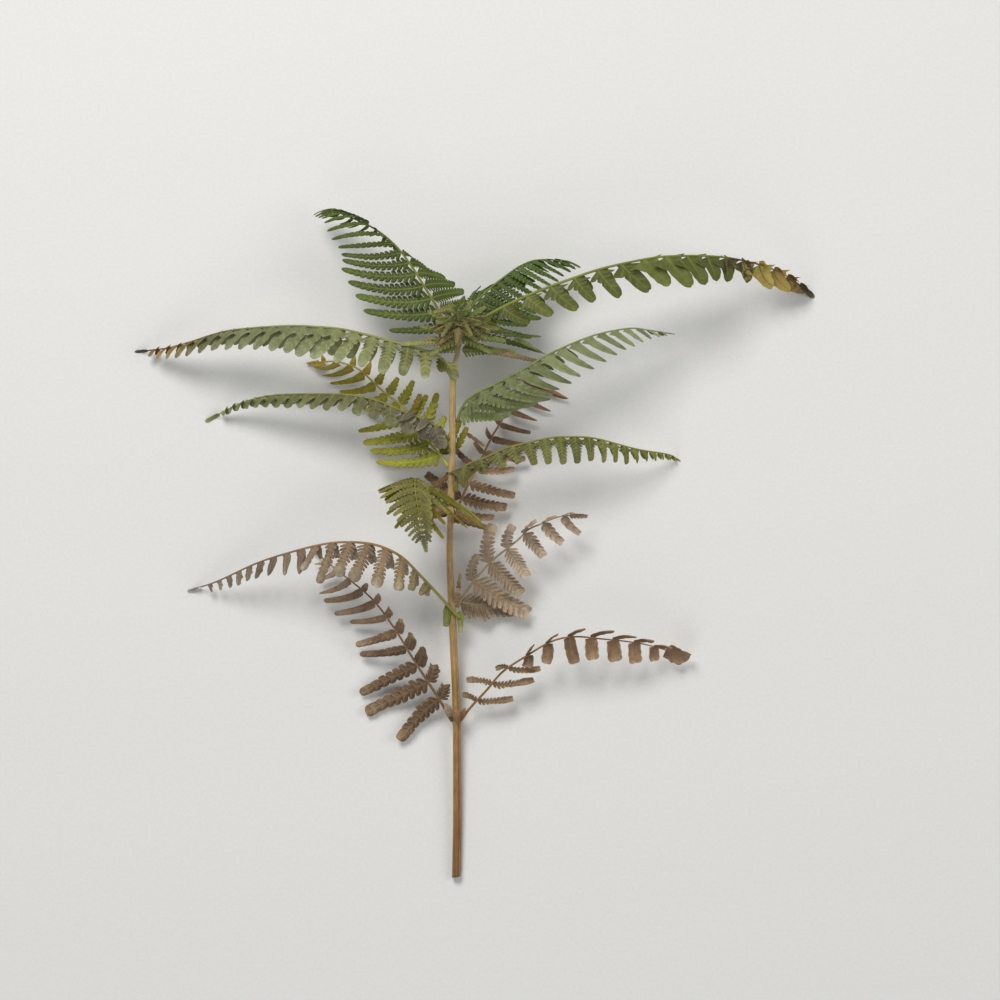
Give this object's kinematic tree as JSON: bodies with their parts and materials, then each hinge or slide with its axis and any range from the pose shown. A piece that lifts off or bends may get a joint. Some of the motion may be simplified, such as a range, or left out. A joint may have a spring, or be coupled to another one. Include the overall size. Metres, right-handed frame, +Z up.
{
  "type": "bracken frond",
  "caption": "Cut bracken frond laid on its back: a straw stem with arching, lobed pinnae in pairs, green at the top and dead brown below, for set dressing.",
  "frame": {"origin": "middle of the underside of the whole frond, on the surface that it lies on", "axes": "+Z up from that surface, +Y along the stem from its cut end to its tip, +X to the right"},
  "size_m": [0.686, 0.6714, 0.1248],
  "materials": {
    "straw_stem": "smooth waxy straw, grooved lengthwise",
    "green_frond": "thin leathery living leaf, veined, matt beneath",
    "yellow_frond": "thin yellowing leaf with brown tips",
    "brown_frond": "dry dead leaf, matt and crinkled",
    "tan_frond": "dry faded leaf, matt and curled"
  },
  "bodies": {
    "root": {"stem": "straw_stem", "pinna_1_left": "brown_frond", "pinna_1_right": "brown_frond", "pinna_2_left": "tan_frond", "pinna_2_right": "tan_frond", "pinna_3_left": "yellow_frond", "pinna_3_right": "brown_frond", "pinna_4_right": "green_frond", "pinna_4_left": "yellow_frond", "pinna_5_left": "green_frond", "pinna_5_right": "green_frond", "pinna_6_left": "green_frond", "pinna_7_left": "green_frond", "pinna_7_right": "green_frond", "pinna_8_right": "green_frond", "frond_tip": "green_frond"}
  },
  "joints": []
}
